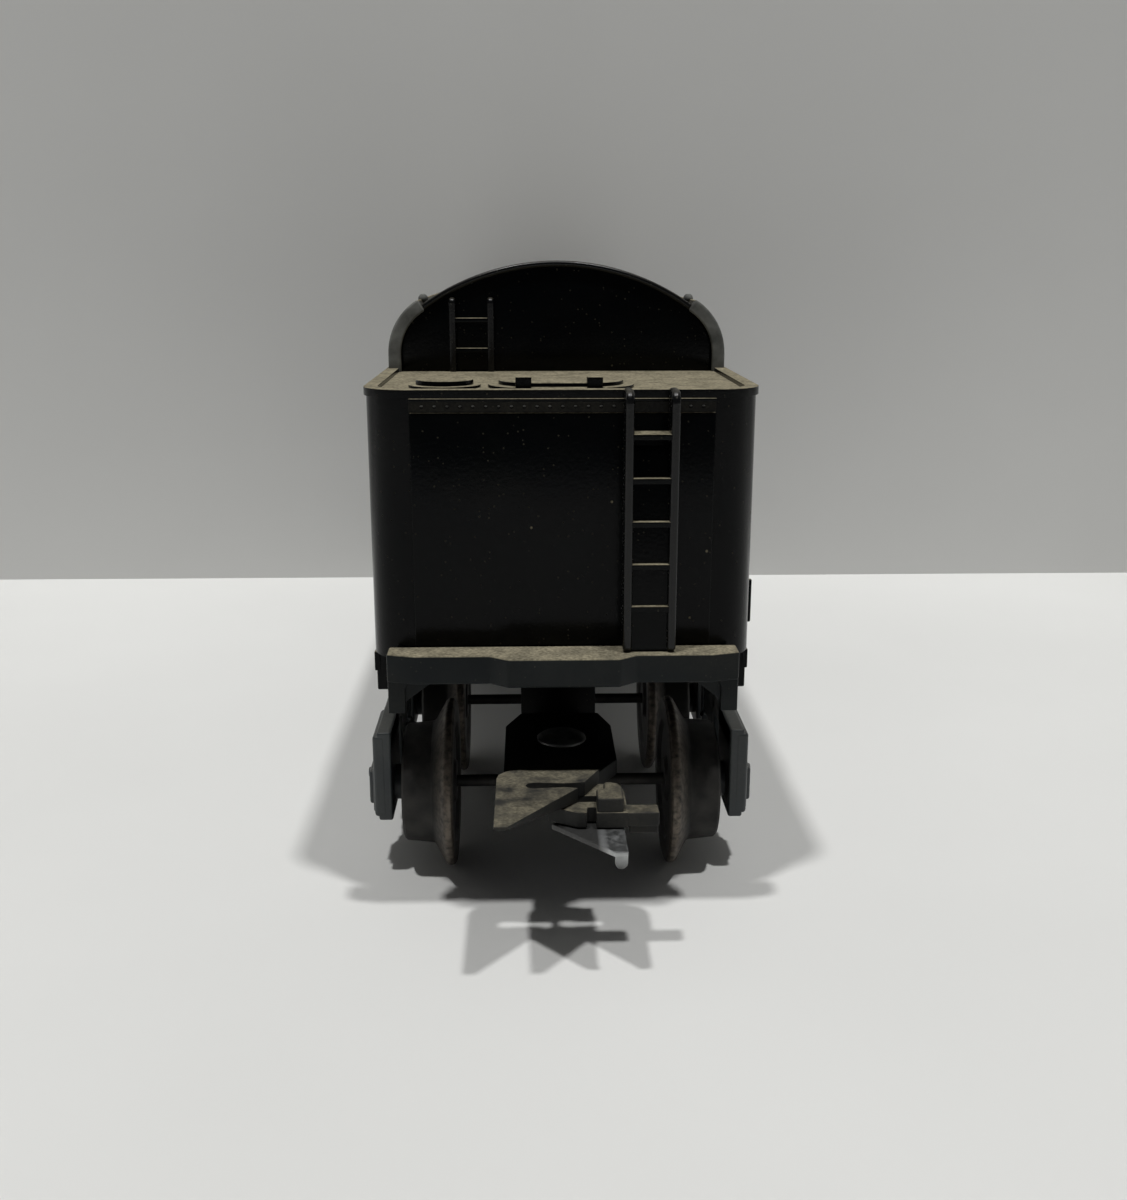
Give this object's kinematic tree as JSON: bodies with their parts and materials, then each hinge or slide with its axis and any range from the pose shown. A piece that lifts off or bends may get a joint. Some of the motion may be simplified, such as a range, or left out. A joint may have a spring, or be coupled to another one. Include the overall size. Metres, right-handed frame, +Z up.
{
  "type": "model locomotive tender",
  "caption": "Model steam-locomotive tender: moulded tank and coal bunker on swivelling flanged-wheel trucks, with a tilting rear coupler and a front drawbar.",
  "frame": {"origin": "middle of the part's bounding box in X and Y, on the surface that the wheel flanges stand on", "axes": "+X to the right of someone looking forwards from behind the tender, +Y towards the locomotive, +Z up"},
  "size_m": [0.0524, 0.1978, 0.0805],
  "materials": {
    "tank_plastic": "black moulded plastic, satin to gloss, dusty on its upper faces",
    "coal_plastic": "black moulded coal lumps",
    "frame_plastic": "dark grey-black moulded plastic",
    "wheel_metal": "dulled brown-grey metal with worn flanges",
    "steel": "bright stamped and turned steel"
  },
  "bodies": {
    "tender_body": {"tank_shell": "tank_plastic", "coal_load": "coal_plastic", "underframe": "frame_plastic", "body_screw_rear_left": "steel", "body_screw_rear_right": "steel", "body_screw_front_left": "steel", "body_screw_front_right": "steel", "rear_kingpin": "steel", "front_kingpin": "steel", "drawbar_rivet": "steel"},
    "rear_truck": {"rear_truck_bolster": "frame_plastic", "rear_truck_side_frame_left": "frame_plastic", "rear_truck_side_frame_right": "frame_plastic", "coupler_rivet": "steel"},
    "front_truck": {"front_truck_bolster": "frame_plastic", "front_truck_side_frame_left": "frame_plastic", "front_truck_side_frame_right": "frame_plastic"},
    "rear_truck_rear_wheelset": {"rear_truck_rear_axle": "steel", "rear_truck_rear_wheel_left": "wheel_metal", "rear_truck_rear_wheel_right": "wheel_metal"},
    "rear_truck_front_wheelset": {"rear_truck_front_axle": "steel", "rear_truck_front_wheel_left": "wheel_metal", "rear_truck_front_wheel_right": "wheel_metal"},
    "front_truck_rear_wheelset": {"front_truck_rear_axle": "steel", "front_truck_rear_wheel_left": "wheel_metal", "front_truck_rear_wheel_right": "wheel_metal"},
    "front_truck_front_wheelset": {"front_truck_front_axle": "steel", "front_truck_front_wheel_left": "wheel_metal", "front_truck_front_wheel_right": "wheel_metal"},
    "coupler": {"coupler_head": "frame_plastic", "coupler_trip_plate": "steel"},
    "drawbar_link": {"drawbar": "steel"}
  },
  "joints": [
    {"name": "rear_truck_swivel", "type": "hinge", "parent": "tender_body", "child": "rear_truck", "pos_m": [0, -0.0474, 0.0239], "axis": [0, 0, 1], "range_deg": [-15, 15]},
    {"name": "front_truck_swivel", "type": "hinge", "parent": "tender_body", "child": "front_truck", "pos_m": [0, 0.05, 0.0239], "axis": [0, 0, 1], "range_deg": [-15, 15]},
    {"name": "rear_truck_rear_wheel_spin", "type": "hinge", "parent": "rear_truck", "child": "rear_truck_rear_wheelset", "pos_m": [0, -0.0644, 0.0113], "axis": [1, 0, 0], "continuous": true},
    {"name": "rear_truck_front_wheel_spin", "type": "hinge", "parent": "rear_truck", "child": "rear_truck_front_wheelset", "pos_m": [0, -0.0304, 0.0113], "axis": [1, 0, 0], "continuous": true},
    {"name": "front_truck_rear_wheel_spin", "type": "hinge", "parent": "front_truck", "child": "front_truck_rear_wheelset", "pos_m": [0, 0.033, 0.0113], "axis": [1, 0, 0], "continuous": true},
    {"name": "front_truck_front_wheel_spin", "type": "hinge", "parent": "front_truck", "child": "front_truck_front_wheelset", "pos_m": [0, 0.067, 0.0113], "axis": [1, 0, 0], "continuous": true},
    {"name": "coupler_tilt", "type": "hinge", "parent": "rear_truck", "child": "coupler", "pos_m": [0, -0.0715, 0.0167], "axis": [0, -1, 0], "range_deg": [0, 8]},
    {"name": "drawbar_swing", "type": "hinge", "parent": "tender_body", "child": "drawbar_link", "pos_m": [0, 0.0733, 0.0307], "axis": [0, 0, 1], "range_deg": [-25, 25]}
  ]
}
